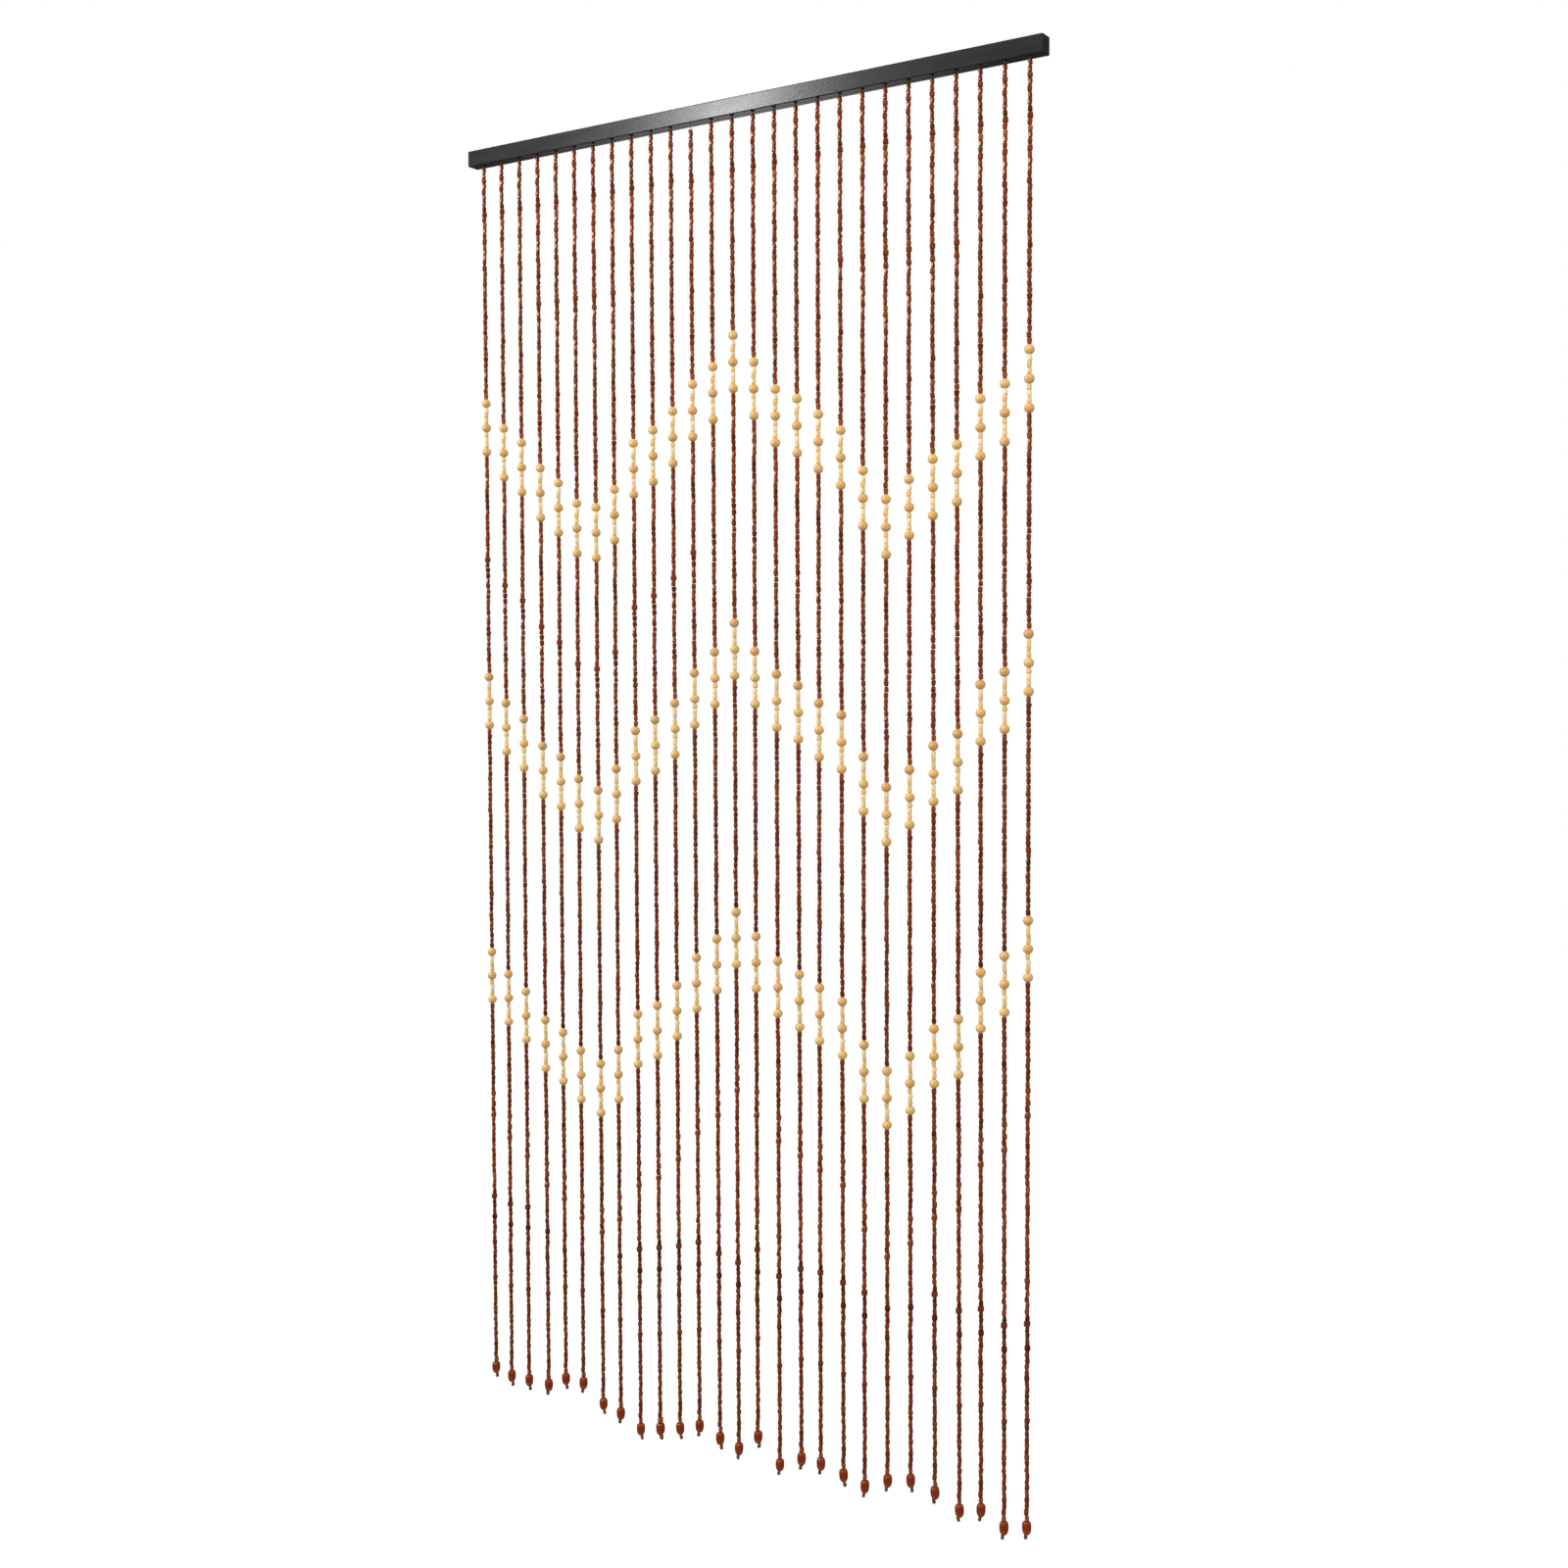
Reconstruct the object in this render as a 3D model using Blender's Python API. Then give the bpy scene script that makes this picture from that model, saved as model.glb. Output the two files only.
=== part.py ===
"""A hanging curtain of threaded wooden beads on a straight black batten.

Each string is one four-sided strand. It swells where its round beads, its end bead and its
knot are, and its root is fused into a slim strip that sits in a slot under the batten.
Units are metres, +Z is up. The origin is the middle of the batten's top face.
"""

import math
from typing import NamedTuple

import bmesh
import bpy

# The batten
RAIL_LENGTH = 0.900
RAIL_DEPTH = 0.020
RAIL_HEIGHT = 0.022
RAIL_EDGE = 0.0012
UNDERSIDE = -RAIL_HEIGHT

# The strip that holds the roots of the strings, and its fit in the slot
STRIP_WIDTH = 0.0024
STRIP_HEIGHT = 0.003
STRIP_OVERHANG = 0.006
GAP = 0.0003

# The strings
STRING_COUNT = 27
STRING_SPACING = 0.033
ROOT_LENGTH = 0.004
ROOT_SHOULDER = 0.0006
TUBE_DIAMETER = 0.0056
TUBE_PITCH = 0.0076
ROUND_DIAMETER = 0.0128
ROUND_LENGTH = 0.0120
ROUNDS_IN_GROUP = 3
TUBES_BETWEEN_ROUNDS = 3
END_BEAD_DIAMETER = 0.0116
END_BEAD_LENGTH = 0.0175
KNOT_DIAMETER = 0.0048
KNOT_LENGTH = 0.0054
KNOT_NECK_DIAMETER = 0.0018
KNOT_ASIDE = 0.0020

# A square of this share of a round bead's diameter has the round bead's area
SQUARE_SHARE = math.sqrt(math.pi) / 2
# Where a bead reaches its full width, as a share of its length from either end
SHOULDER = 0.27


class StringRow(NamedTuple):
    """The bead counts of one string, top to bottom, and how it hangs."""

    above: int  # tubes above the first group of round beads
    first_gap: int  # tubes between the first and second groups
    second_gap: int  # tubes between the second and third groups
    below: int  # tubes under the third group
    drop: float  # extra bare thread at the top
    lean: float  # how far its foot hangs to +X of its root
    knot_side: int  # 1 where its knot sits to +X of the end bead's middle, else -1


# Left to right, seen from the front
STRINGS = (
    StringRow(43, 41, 42, 70, 0.0, -0.002, 1),
    StringRow(48, 41, 41, 67, 0.0, -0.005, 1),
    StringRow(51, 41, 41, 64, 0.0, -0.005, 1),
    StringRow(56, 41, 41, 59, 0.0, -0.001, -1),
    StringRow(59, 40, 41, 55, 0.0, -0.002, 1),
    StringRow(63, 40, 40, 52, 0.0, -0.003, -1),
    StringRow(64, 41, 40, 53, 0.0, 0.0, 1),
    StringRow(61, 40, 41, 57, 0.0, -0.002, -1),
    StringRow(53, 41, 41, 66, 0.0, 0.0, 1),
    StringRow(51, 41, 41, 67, 0.0, 0.001, 1),
    StringRow(48, 41, 40, 70, 0.0, 0.002, 1),
    StringRow(43, 40, 40, 74, 0.005, 0.002, -1),
    StringRow(41, 39, 40, 79, 0.0, 0.003, 1),
    StringRow(36, 39, 40, 85, 0.0, 0.001, -1),
    StringRow(41, 39, 39, 78, 0.0, -0.001, 1),
    StringRow(46, 38, 39, 78, 0.0, 0.001, -1),
    StringRow(48, 38, 39, 74, 0.0, 0.002, -1),
    StringRow(51, 38, 38, 72, 0.0, -0.001, -1),
    StringRow(54, 37, 38, 71, 0.0, 0.001, 1),
    StringRow(61, 37, 38, 65, 0.0, 0.0, -1),
    StringRow(66, 37, 37, 59, 0.0, 0.001, -1),
    StringRow(63, 37, 37, 61, 0.0, 0.002, 1),
    StringRow(60, 36, 36, 67, 0.0, 0.004, -1),
    StringRow(58, 36, 36, 71, 0.0, 0.006, -1),
    StringRow(51, 35, 36, 78, 0.0, 0.003, -1),
    StringRow(49, 35, 35, 83, 0.0, 0.002, -1),
    StringRow(44, 34, 35, 88, 0.0, 0.0, -1),
)


class Ring(NamedTuple):
    """One square section of a strand."""

    depth: float  # below the batten's underside
    side: float
    aside: float  # sideways from the strand's own line


def bead_rings(start: float, length: float, diameter: float, neck: float) -> list[Ring]:
    """The two full sections of a bead that starts at a depth, and the neck under it."""
    full = diameter * SQUARE_SHARE
    return [
        Ring(start + SHOULDER * length, full, 0.0),
        Ring(start + (1 - SHOULDER) * length, full, 0.0),
        Ring(start + length, neck, 0.0),
    ]


def string_rings(row: StringRow) -> list[Ring]:
    """Every section of one strand, from the first bead down to the knot."""
    tube = TUBE_DIAMETER * SQUARE_SHARE
    depth = ROOT_LENGTH + row.drop
    rings = [Ring(depth, STRIP_WIDTH, 0.0), Ring(depth + ROOT_SHOULDER, tube, 0.0)]
    for tubes_before in (row.above, row.first_gap, row.second_gap):
        depth += tubes_before * TUBE_PITCH
        for place in range(ROUNDS_IN_GROUP):
            rings.append(Ring(depth, tube, 0.0))
            rings += bead_rings(depth, ROUND_LENGTH, ROUND_DIAMETER, tube)
            depth += ROUND_LENGTH
            if place < ROUNDS_IN_GROUP - 1:
                depth += TUBES_BETWEEN_ROUNDS * TUBE_PITCH
    depth += row.below * TUBE_PITCH
    knot_neck = KNOT_NECK_DIAMETER * SQUARE_SHARE
    rings.append(Ring(depth, tube, 0.0))
    rings += bead_rings(depth, END_BEAD_LENGTH, END_BEAD_DIAMETER, knot_neck)
    depth += END_BEAD_LENGTH
    knot = KNOT_DIAMETER * SQUARE_SHARE
    aside = row.knot_side * KNOT_ASIDE
    rings.append(Ring(depth + SHOULDER * KNOT_LENGTH, knot, aside))
    rings.append(Ring(depth + KNOT_LENGTH, knot, aside))
    return rings


def string_x(index: int) -> float:
    """The place of a string's root along the batten."""
    return (index - (STRING_COUNT - 1) / 2) * STRING_SPACING


def clear_scene() -> None:
    """Removes every object that the file opened with."""
    for obj in list(bpy.data.objects):
        bpy.data.objects.remove(obj, do_unlink=True)


def make_material(name: str, color: tuple, roughness: float, metallic: float) -> bpy.types.Material:
    """A plain Principled material."""
    material = bpy.data.materials.new(name)
    material.use_nodes = True
    shader = material.node_tree.nodes["Principled BSDF"]
    shader.inputs["Base Color"].default_value = (*color, 1.0)
    shader.inputs["Roughness"].default_value = roughness
    shader.inputs["Metallic"].default_value = metallic
    return material


def object_from(bm: bmesh.types.BMesh, name: str, material: bpy.types.Material | None) -> bpy.types.Object:
    """Turns a bmesh into a named object in the scene."""
    mesh = bpy.data.meshes.new(name)
    bm.to_mesh(mesh)
    bm.free()
    if material:
        mesh.materials.append(material)
    obj = bpy.data.objects.new(name, mesh)
    bpy.context.scene.collection.objects.link(obj)
    return obj


def box(length: float, depth: float, height: float, top: float) -> bmesh.types.BMesh:
    """A box centred on X and Y, with its top face at a height."""
    bm = bmesh.new()
    bmesh.ops.create_cube(bm, size=1.0)
    bmesh.ops.scale(bm, vec=(length, depth, height), verts=bm.verts)
    bmesh.ops.translate(bm, vec=(0.0, 0.0, top - height / 2), verts=bm.verts)
    return bm


def strip_length() -> float:
    """The strip runs a little past the two outer strings."""
    return (STRING_COUNT - 1) * STRING_SPACING + 2 * STRIP_OVERHANG


def build_rail(material: bpy.types.Material) -> bpy.types.Object:
    """The batten: a bar with softened edges and a blind slot along its underside."""
    rail = object_from(box(RAIL_LENGTH, RAIL_DEPTH, RAIL_HEIGHT, 0.0), "rail", material)
    bevel = rail.modifiers.new("soft_edges", "BEVEL")
    bevel.width = RAIL_EDGE
    bevel.segments = 2
    slot_top = UNDERSIDE + STRIP_HEIGHT + GAP
    slot_height = 2 * (STRIP_HEIGHT + GAP)
    cutter = object_from(
        box(strip_length() + 2 * GAP, STRIP_WIDTH + 2 * GAP, slot_height, slot_top),
        "slot_cutter",
        None,
    )
    cutter.hide_render = True
    cutter.display_type = "WIRE"
    slot = rail.modifiers.new("slot", "BOOLEAN")
    slot.operation = "DIFFERENCE"
    slot.object = cutter
    return rail


def build_strip() -> bmesh.types.BMesh:
    """The strip, flush with the batten's underside and divided at both sides of each root."""
    bm = box(strip_length(), STRIP_WIDTH, STRIP_HEIGHT, UNDERSIDE + STRIP_HEIGHT)
    for index in range(STRING_COUNT):
        for side in (-0.5, 0.5):
            bmesh.ops.bisect_plane(
                bm,
                geom=bm.verts[:] + bm.edges[:] + bm.faces[:],
                plane_co=(string_x(index) + side * STRIP_WIDTH, 0.0, 0.0),
                plane_no=(1.0, 0.0, 0.0),
            )
    return bm


def root_face(bm: bmesh.types.BMesh, x: float) -> bmesh.types.BMFace:
    """The square face under the strip at a string's place."""
    below = [face for face in bm.faces if face.normal.z < -0.5]
    return min(below, key=lambda face: abs(face.calc_center_median().x - x))


def grow_strand(bm: bmesh.types.BMesh, x: float, row: StringRow) -> None:
    """Extrudes one strand out of the strip, a section at a time."""
    face = root_face(bm, x)
    rings = string_rings(row)
    full_depth = rings[-1].depth
    middle = x
    for ring in rings:
        face = bmesh.ops.extrude_discrete_faces(bm, faces=[face])["faces"][0]
        new_middle = x + row.lean * ring.depth / full_depth + ring.aside
        for vert in face.verts:
            vert.co.x = new_middle + math.copysign(ring.side / 2, vert.co.x - middle)
            vert.co.y = math.copysign(ring.side / 2, vert.co.y)
            vert.co.z = UNDERSIDE - ring.depth
        middle = new_middle


def build_strings(material: bpy.types.Material) -> bpy.types.Object:
    """All the strings with the strip that holds them, as one closed piece."""
    bm = build_strip()
    bm.normal_update()
    for index, row in enumerate(STRINGS):
        grow_strand(bm, string_x(index), row)
    bmesh.ops.recalc_face_normals(bm, faces=bm.faces)
    return object_from(bm, "bead_strings", material)


def main() -> None:
    """Clears the scene and builds the two pieces."""
    clear_scene()
    build_rail(make_material("black_lacquer", (0.018, 0.018, 0.019), 0.32, 0.0))
    build_strings(make_material("brown_beads", (0.270, 0.075, 0.028), 0.35, 0.0))


main()
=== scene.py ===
"""A door curtain of threaded wooden beads on a black batten, dressed for a studio picture.

The batten is the frame's own solid with a lacquer on it. The strings are rebuilt bead by bead
along the lines of the frame's strands: brown tube beads, three zigzag bands of cream beads, and
an oval end bead and a knot at each foot. Units are metres and +Z is up.
"""

import logging
import math
from collections.abc import Iterable, Sequence
from dataclasses import dataclass, field, replace
from enum import Enum
from typing import NamedTuple

import bmesh
import bpy
import numpy as np
from mathutils import Euler, Matrix, Vector


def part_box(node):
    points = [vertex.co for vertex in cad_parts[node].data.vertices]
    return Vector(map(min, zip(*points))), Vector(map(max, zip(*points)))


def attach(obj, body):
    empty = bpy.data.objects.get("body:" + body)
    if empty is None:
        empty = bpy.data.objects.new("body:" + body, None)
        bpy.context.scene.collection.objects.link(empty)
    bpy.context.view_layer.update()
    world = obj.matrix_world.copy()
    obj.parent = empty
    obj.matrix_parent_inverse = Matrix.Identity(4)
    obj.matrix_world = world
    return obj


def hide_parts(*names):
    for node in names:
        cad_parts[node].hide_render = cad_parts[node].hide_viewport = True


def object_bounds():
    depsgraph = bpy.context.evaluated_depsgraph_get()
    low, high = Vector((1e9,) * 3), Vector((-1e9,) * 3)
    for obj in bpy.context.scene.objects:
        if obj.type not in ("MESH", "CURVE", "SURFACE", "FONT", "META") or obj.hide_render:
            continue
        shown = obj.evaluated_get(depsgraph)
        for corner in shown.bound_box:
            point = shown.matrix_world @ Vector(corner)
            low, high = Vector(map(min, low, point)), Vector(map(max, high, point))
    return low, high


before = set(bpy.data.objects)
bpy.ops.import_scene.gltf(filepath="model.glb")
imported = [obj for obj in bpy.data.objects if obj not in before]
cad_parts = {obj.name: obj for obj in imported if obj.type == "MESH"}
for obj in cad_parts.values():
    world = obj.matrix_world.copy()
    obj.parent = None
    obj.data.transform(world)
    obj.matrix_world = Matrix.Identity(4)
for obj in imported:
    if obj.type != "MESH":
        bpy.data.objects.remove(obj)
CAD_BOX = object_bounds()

LOG = logging.getLogger("bead_curtain")
BODY = "root"
STRANDS = "bead_strings"
RAIL = "rail"

# Inputs and output of Blender's Mix node when it mixes colours
MIX_FACTOR = 0
MIX_COLOR_A = 6
MIX_COLOR_B = 7
MIX_COLOR_OUT = 2

FINE_RELIEF = 0.0001  # metres that a bump of full height stands for on wood
TUBE_SHARP_ANGLE = math.radians(33)  # edges of a tube bead sharper than this stay crisp

Color = tuple[float, float, float]
Serial = tuple[int, int]


class StringRow(NamedTuple):
    """The bead counts of one string, top to bottom, and how it hangs."""

    above: int  # tubes above the first cream group
    first_gap: int  # tubes between the first and second groups
    second_gap: int  # tubes between the second and third groups
    below: int  # tubes under the third group
    drop: float  # extra bare thread at the top
    lean: float  # how far its foot hangs to +X of its root
    knot_side: int  # 1 where its knot sits to +X of the end bead's middle, else -1


# Left to right, seen from the front
STRINGS = (
    StringRow(43, 41, 42, 70, 0.0, -0.002, 1),
    StringRow(48, 41, 41, 67, 0.0, -0.005, 1),
    StringRow(51, 41, 41, 64, 0.0, -0.005, 1),
    StringRow(56, 41, 41, 59, 0.0, -0.001, -1),
    StringRow(59, 40, 41, 55, 0.0, -0.002, 1),
    StringRow(63, 40, 40, 52, 0.0, -0.003, -1),
    StringRow(64, 41, 40, 53, 0.0, 0.0, 1),
    StringRow(61, 40, 41, 57, 0.0, -0.002, -1),
    StringRow(53, 41, 41, 66, 0.0, 0.0, 1),
    StringRow(51, 41, 41, 67, 0.0, 0.001, 1),
    StringRow(48, 41, 40, 70, 0.0, 0.002, 1),
    StringRow(43, 40, 40, 74, 0.005, 0.002, -1),
    StringRow(41, 39, 40, 79, 0.0, 0.003, 1),
    StringRow(36, 39, 40, 85, 0.0, 0.001, -1),
    StringRow(41, 39, 39, 78, 0.0, -0.001, 1),
    StringRow(46, 38, 39, 78, 0.0, 0.001, -1),
    StringRow(48, 38, 39, 74, 0.0, 0.002, -1),
    StringRow(51, 38, 38, 72, 0.0, -0.001, -1),
    StringRow(54, 37, 38, 71, 0.0, 0.001, 1),
    StringRow(61, 37, 38, 65, 0.0, 0.0, -1),
    StringRow(66, 37, 37, 59, 0.0, 0.001, -1),
    StringRow(63, 37, 37, 61, 0.0, 0.002, 1),
    StringRow(60, 36, 36, 67, 0.0, 0.004, -1),
    StringRow(58, 36, 36, 71, 0.0, 0.006, -1),
    StringRow(51, 35, 36, 78, 0.0, 0.003, -1),
    StringRow(49, 35, 35, 83, 0.0, 0.002, -1),
    StringRow(44, 34, 35, 88, 0.0, 0.0, -1),
)
BANDS = 3


class BeadKind(Enum):
    """What hangs on a string."""

    BROWN_TUBE = "brown_tube"
    CREAM_TUBE = "cream_tube"
    CREAM_ROUND = "cream_round"
    END_BEAD = "end_bead"
    KNOT = "knot"


class Bead(NamedTuple):
    """One bead in its place on its string."""

    kind: BeadKind
    string: int
    band: int  # 0 to 2 for a cream bead, else -1
    depth: float  # of its middle, below the batten's underside
    tone: float  # 0 dark to 1 pale, which its finish reads
    aside: float  # sideways from its string's line
    serial: Serial  # its run and its number there, by which its own shape is drawn


class Wire:
    """An output socket that Python's operators can work on, each adding a Math node."""

    def __init__(self, graph: "Graph", socket: bpy.types.NodeSocket) -> None:
        """Keeps the graph that the socket belongs to."""
        self.graph = graph
        self.socket = socket

    def _math(self, operation: str, first: "Wire | float", second: "Wire | float") -> "Wire":
        """Adds one Math node."""
        return self.graph.node("ShaderNodeMath", {"operation": operation}, {0: first, 1: second})

    def __add__(self, other: "Wire | float") -> "Wire":
        """Sum."""
        return self._math("ADD", self, other)

    def __radd__(self, other: float) -> "Wire":
        """Sum with a number first."""
        return self._math("ADD", other, self)

    def __sub__(self, other: "Wire | float") -> "Wire":
        """Difference."""
        return self._math("SUBTRACT", self, other)

    def __rsub__(self, other: float) -> "Wire":
        """Difference from a number."""
        return self._math("SUBTRACT", other, self)

    def __mul__(self, other: "Wire | float") -> "Wire":
        """Product."""
        return self._math("MULTIPLY", self, other)

    def __rmul__(self, other: float) -> "Wire":
        """Product with a number first."""
        return self._math("MULTIPLY", other, self)

    def __pow__(self, other: "Wire | float") -> "Wire":
        """Power."""
        return self._math("POWER", self, other)


class Graph:
    """A node tree, with one method that adds any node."""

    def __init__(self, tree: bpy.types.NodeTree) -> None:
        """Keeps the tree."""
        self.tree = tree

    def node(
        self,
        kind: str,
        settings: dict[str, object] | None = None,
        sockets: dict[str | int, object] | None = None,
        out: str | int = 0,
    ) -> Wire:
        """Adds a node of any type.

        Args:
            kind: The node's type name.
            settings: Its properties, set first. "stops" gives a ramp's places and colours.
            sockets: Its inputs by name or place, as wires or plain values.
            out: The output to return.

        Returns:
            The wire from that output.
        """
        made = self.tree.nodes.new(kind)
        for name, value in (settings or {}).items():
            if name == "stops":
                self._set_stops(made.color_ramp, value)
            else:
                setattr(made, name, value)
        for name, value in (sockets or {}).items():
            self._feed(made.inputs[name], value)
        return Wire(self, made.outputs[out])

    def _set_stops(self, ramp: bpy.types.ColorRamp, stops: Sequence[tuple[float, Color]]) -> None:
        """Sets a ramp's stops to these places and colours."""
        while len(ramp.elements) < len(stops):
            ramp.elements.new(0.5)
        for element, (place, color) in zip(ramp.elements, stops):
            element.position = place
            element.color = (*color, 1.0)

    def _feed(self, socket: bpy.types.NodeSocket, value: object) -> None:
        """Links a wire to an input, or sets the input's own value."""
        if isinstance(value, Wire):
            self.tree.links.new(value.socket, socket)
        else:
            socket.default_value = value

    def ramp(self, factor: Wire, stops: Sequence[tuple[float, Color]]) -> Wire:
        """A colour read from a number."""
        return self.node("ShaderNodeValToRGB", {"stops": stops}, {"Fac": factor})

    def map_range(self, value: Wire, start: float, end: float, to: float = 1.0) -> Wire:
        """Maps a number's range onto 0 to another number, and holds it there at both ends."""
        return self.node(
            "ShaderNodeMapRange",
            {"interpolation_type": "LINEAR"},
            {"Value": value, "From Min": start, "From Max": end, "To Max": to},
        )


class Finish(Graph):
    """The node tree of one material, around its Principled shader."""

    def __init__(self, name: str) -> None:
        """Makes a material with a fresh Principled shader."""
        self.material = bpy.data.materials.new(name)
        self.material.use_nodes = True
        super().__init__(self.material.node_tree)
        self.shader = self.tree.nodes["Principled BSDF"]

    def surface(self, **sockets: object) -> bpy.types.Material:
        """Feeds the shader's inputs, with underscores for spaces, and returns the material."""
        for name, value in sockets.items():
            self._feed(self.shader.inputs[name.replace("_", " ")], value)
        return self.material

    def attribute(self, name: str) -> Wire:
        """A number that the mesh carries at each point."""
        return self.node("ShaderNodeAttribute", {"attribute_name": name}, out="Fac")

    def noise(self, stretch: tuple[float, float, float], detail: float = 2.0) -> Wire:
        """Noise from 0 to 1 over the object's own coordinates.

        Args:
            stretch: How many repeats there are to a metre along each axis.
            detail: How many finer layers are added.
        """
        place = self.node("ShaderNodeTexCoord", out="Object")
        scaled = self.node(
            "ShaderNodeVectorMath", {"operation": "MULTIPLY"}, {0: place, 1: stretch}
        )
        return self.node(
            "ShaderNodeTexNoise", sockets={"Vector": scaled, "Scale": 1.0, "Detail": detail}
        )

    def blend(self, factor: Wire | float, first: object, second: object) -> Wire:
        """Mixes two colours, from the first at 0 to the second at 1."""
        return self.node(
            "ShaderNodeMix",
            {"data_type": "RGBA", "blend_type": "MIX"},
            {MIX_FACTOR: factor, MIX_COLOR_A: first, MIX_COLOR_B: second},
            out=MIX_COLOR_OUT,
        )

    def bump(self, height: Wire, strength: float, distance: float) -> Wire:
        """Raises the surface by a height."""
        return self.node(
            "ShaderNodeBump",
            sockets={"Height": height, "Strength": strength, "Distance": distance},
        )


@dataclass(frozen=True)
class WoodFinish:
    """Stained or clear lacquer on a small turned wooden bead."""

    name: str
    slot: str
    tones: tuple[tuple[float, Color], ...]
    grain_color: Color
    grain_share: float
    roughness: float
    coat: float
    shine: float = 0.5
    index: float = 1.5
    coat_roughness: float = 0.12
    sheen_color: Color = (1.0, 1.0, 1.0)
    grain_stretch: tuple[float, float, float] = (900.0, 900.0, 130.0)
    grain_detail: float = 3.0
    grain_start: float = 0.46
    grain_end: float = 0.74
    cloud_stretch: tuple[float, float, float] = (170.0, 170.0, 90.0)
    cloudiness: float = 0.35
    roughness_spread: float = 0.14
    relief: float = 0.15

    def material(self) -> bpy.types.Material:
        """Builds the finish: a tone for each bead, grain along it and cloudy stain."""
        graph = Finish(self.name)
        grain = graph.noise(self.grain_stretch, self.grain_detail)
        clouds = graph.noise(self.cloud_stretch)
        tone = graph.attribute("tone") + (clouds - 0.5) * self.cloudiness
        stained = graph.ramp(tone, self.tones)
        streaks = graph.map_range(grain, self.grain_start, self.grain_end, self.grain_share)
        color = graph.blend(streaks, stained, (*self.grain_color, 1.0))
        return graph.surface(
            Base_Color=color,
            Roughness=self.roughness + (grain - 0.5) * self.roughness_spread,
            Coat_Weight=self.coat,
            Coat_Roughness=self.coat_roughness,
            IOR=self.index,
            Specular_IOR_Level=self.shine,
            Specular_Tint=(*self.sheen_color, 1.0),
            Normal=graph.bump(grain, self.relief, FINE_RELIEF),
        )


@dataclass(frozen=True)
class EndBeadFinish:
    """Glossy lacquer on an oval bead, deep red at its middle and paler towards its foot, where the
    paler colour is painted light from below.
    """

    name: str = "end_bead_lacquer"
    slot: str = "end_beads"
    sheen_color: Color = (1.0, 0.60, 0.38)
    # Colours from the bead's top to its foot; the paler last stop is painted light from below.
    stops: tuple[tuple[float, Color], ...] = (
        (0.0, (0.280, 0.060, 0.013)),
        (0.30, (0.245, 0.025, 0.004)),
        (0.60, (0.270, 0.038, 0.007)),
        (1.0, (0.400, 0.120, 0.032)),
    )
    grain_stretch: tuple[float, float, float] = (500.0, 500.0, 70.0)
    grain_detail: float = 3.0
    grain_reach: float = 0.30
    roughness: float = 0.18
    roughness_spread: float = 0.12
    coat_roughness: float = 0.10
    coat_index: float = 1.8
    relief: float = 0.12

    def material(self) -> bpy.types.Material:
        """Builds the finish."""
        graph = Finish(self.name)
        grain = graph.noise(self.grain_stretch, self.grain_detail)
        along = graph.attribute("along") + (grain - 0.5) * self.grain_reach
        color = graph.ramp(along, self.stops)
        return graph.surface(
            Base_Color=color,
            Roughness=self.roughness + grain * self.roughness_spread,
            Coat_Weight=1.0,
            Coat_Roughness=self.coat_roughness,
            Coat_IOR=self.coat_index,
            Specular_Tint=(*self.sheen_color, 1.0),
            Normal=graph.bump(grain, self.relief, FINE_RELIEF),
        )


@dataclass(frozen=True)
class ThreadFinish:
    """Twisted thread, with its plies as fine slanting ridges."""

    name: str
    slot: str
    dark: Color
    light: Color
    fuzz: float = 0.0
    roughness: float = 0.75
    roughness_spread: float = 0.2
    plies_to_metre: float = 420.0
    ply_distortion: float = 1.5
    ply_detail: float = 2.0
    ply_share: float = 0.7
    fuzz_stretch: tuple[float, float, float] = (1500.0, 1500.0, 1500.0)
    dark_place: float = 0.1
    light_place: float = 0.8
    relief: float = 0.5
    relief_height: float = 0.0002

    def material(self) -> bpy.types.Material:
        """Builds the finish."""
        graph = Finish(self.name)
        place = graph.node("ShaderNodeTexCoord", out="Object")
        plies = graph.node(
            "ShaderNodeTexWave",
            {"wave_type": "BANDS", "bands_direction": "DIAGONAL"},
            {
                "Vector": place,
                "Scale": self.plies_to_metre,
                "Distortion": self.ply_distortion,
                "Detail": self.ply_detail,
            },
            out="Fac",
        )
        fuzz = graph.noise(self.fuzz_stretch)
        tone = plies * self.ply_share + fuzz * (1.0 - self.ply_share)
        color = graph.ramp(tone, ((self.dark_place, self.dark), (self.light_place, self.light)))
        return graph.surface(
            Base_Color=color,
            Roughness=self.roughness + (fuzz - 0.5) * self.roughness_spread,
            Sheen_Weight=self.fuzz,
            Normal=graph.bump(plies, self.relief, self.relief_height),
        )


@dataclass(frozen=True)
class BlackLacquer:
    """Satin black lacquer over planed wood, whose grain runs faintly along the batten."""

    name: str = "black_lacquer"
    slot: str = "black_lacquer"
    color: Color = (0.021, 0.021, 0.0215)
    haze: Color = (0.026, 0.026, 0.0265)
    roughness: float = 0.20
    haze_spread: float = 0.06
    grain_spread: float = 0.03
    grain_stretch: tuple[float, float, float] = (14.0, 420.0, 420.0)
    grain_detail: float = 3.0
    haze_stretch: tuple[float, float, float] = (9.0, 60.0, 60.0)
    haze_start: float = 0.3
    haze_end: float = 0.7
    relief: float = 0.006

    def material(self) -> bpy.types.Material:
        """Builds the finish."""
        graph = Finish(self.name)
        grain = graph.noise(self.grain_stretch, self.grain_detail)
        haze = graph.noise(self.haze_stretch)
        color = graph.ramp(haze, ((self.haze_start, self.color), (self.haze_end, self.haze)))
        uneven = (haze - 0.5) * self.haze_spread
        return graph.surface(
            Base_Color=color,
            Roughness=self.roughness + uneven + (grain - 0.5) * self.grain_spread,
            Normal=graph.bump(grain, self.relief, FINE_RELIEF),
        )


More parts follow.
